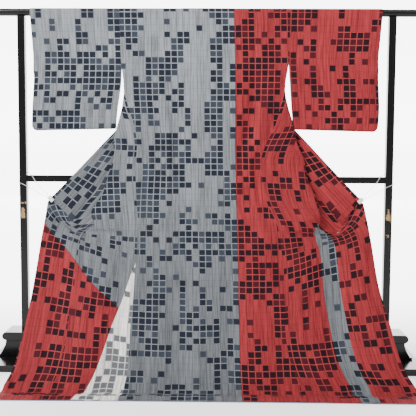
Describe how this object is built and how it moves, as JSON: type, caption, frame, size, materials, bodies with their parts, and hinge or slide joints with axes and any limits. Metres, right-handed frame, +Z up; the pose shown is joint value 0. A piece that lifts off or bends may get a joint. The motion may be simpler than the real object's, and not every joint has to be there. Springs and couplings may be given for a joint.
{
  "type": "tsukesage kimono on a kimono rack",
  "caption": "Long open-fronted silk robe hung by its sleeves from the rod of a black floor rack, back to the viewer, fronts clipped out and hem swept forward.",
  "frame": {"origin": "on the floor, under the middle of the whole: halfway between the rod's ends and halfway between the hem's front edge and the rear of the feet", "axes": "+X along the rod to the viewer's right, +Y away from the viewer, from the kimono's back to the rack's rear, +Z up"},
  "size_m": [1.7, 0.682, 1.3625],
  "materials": {
    "cloth_gray": "gray crepe silk with a windowpane check",
    "cloth_red": "red crepe silk with a windowpane check",
    "lining": "plain lavender-gray silk lining",
    "lacquer": "polished black lacquer",
    "clip": "white satin plastic",
    "thread": "white cotton thread"
  },
  "bodies": {
    "root": {"back_left": "cloth_gray", "back_right": "cloth_red", "front_left": "cloth_gray", "front_right": "cloth_red", "okumi_left": "cloth_red", "okumi_right": "cloth_red", "collar": "cloth_gray", "sleeve_left": "cloth_gray", "sleeve_right": "cloth_red", "hem_roll_left": "lining", "hem_roll_right": "lining", "rod": "lacquer", "crossbar": "lacquer", "upright_left": "lacquer", "upright_right": "lacquer", "foot_base_left": "lacquer", "foot_base_right": "lacquer", "foot_block_left": "lacquer", "foot_block_right": "lacquer", "foot_cap_left": "lacquer", "foot_cap_right": "lacquer", "clip_left": "clip", "clip_right": "clip", "thread_left": "thread", "thread_right": "thread"}
  },
  "joints": []
}
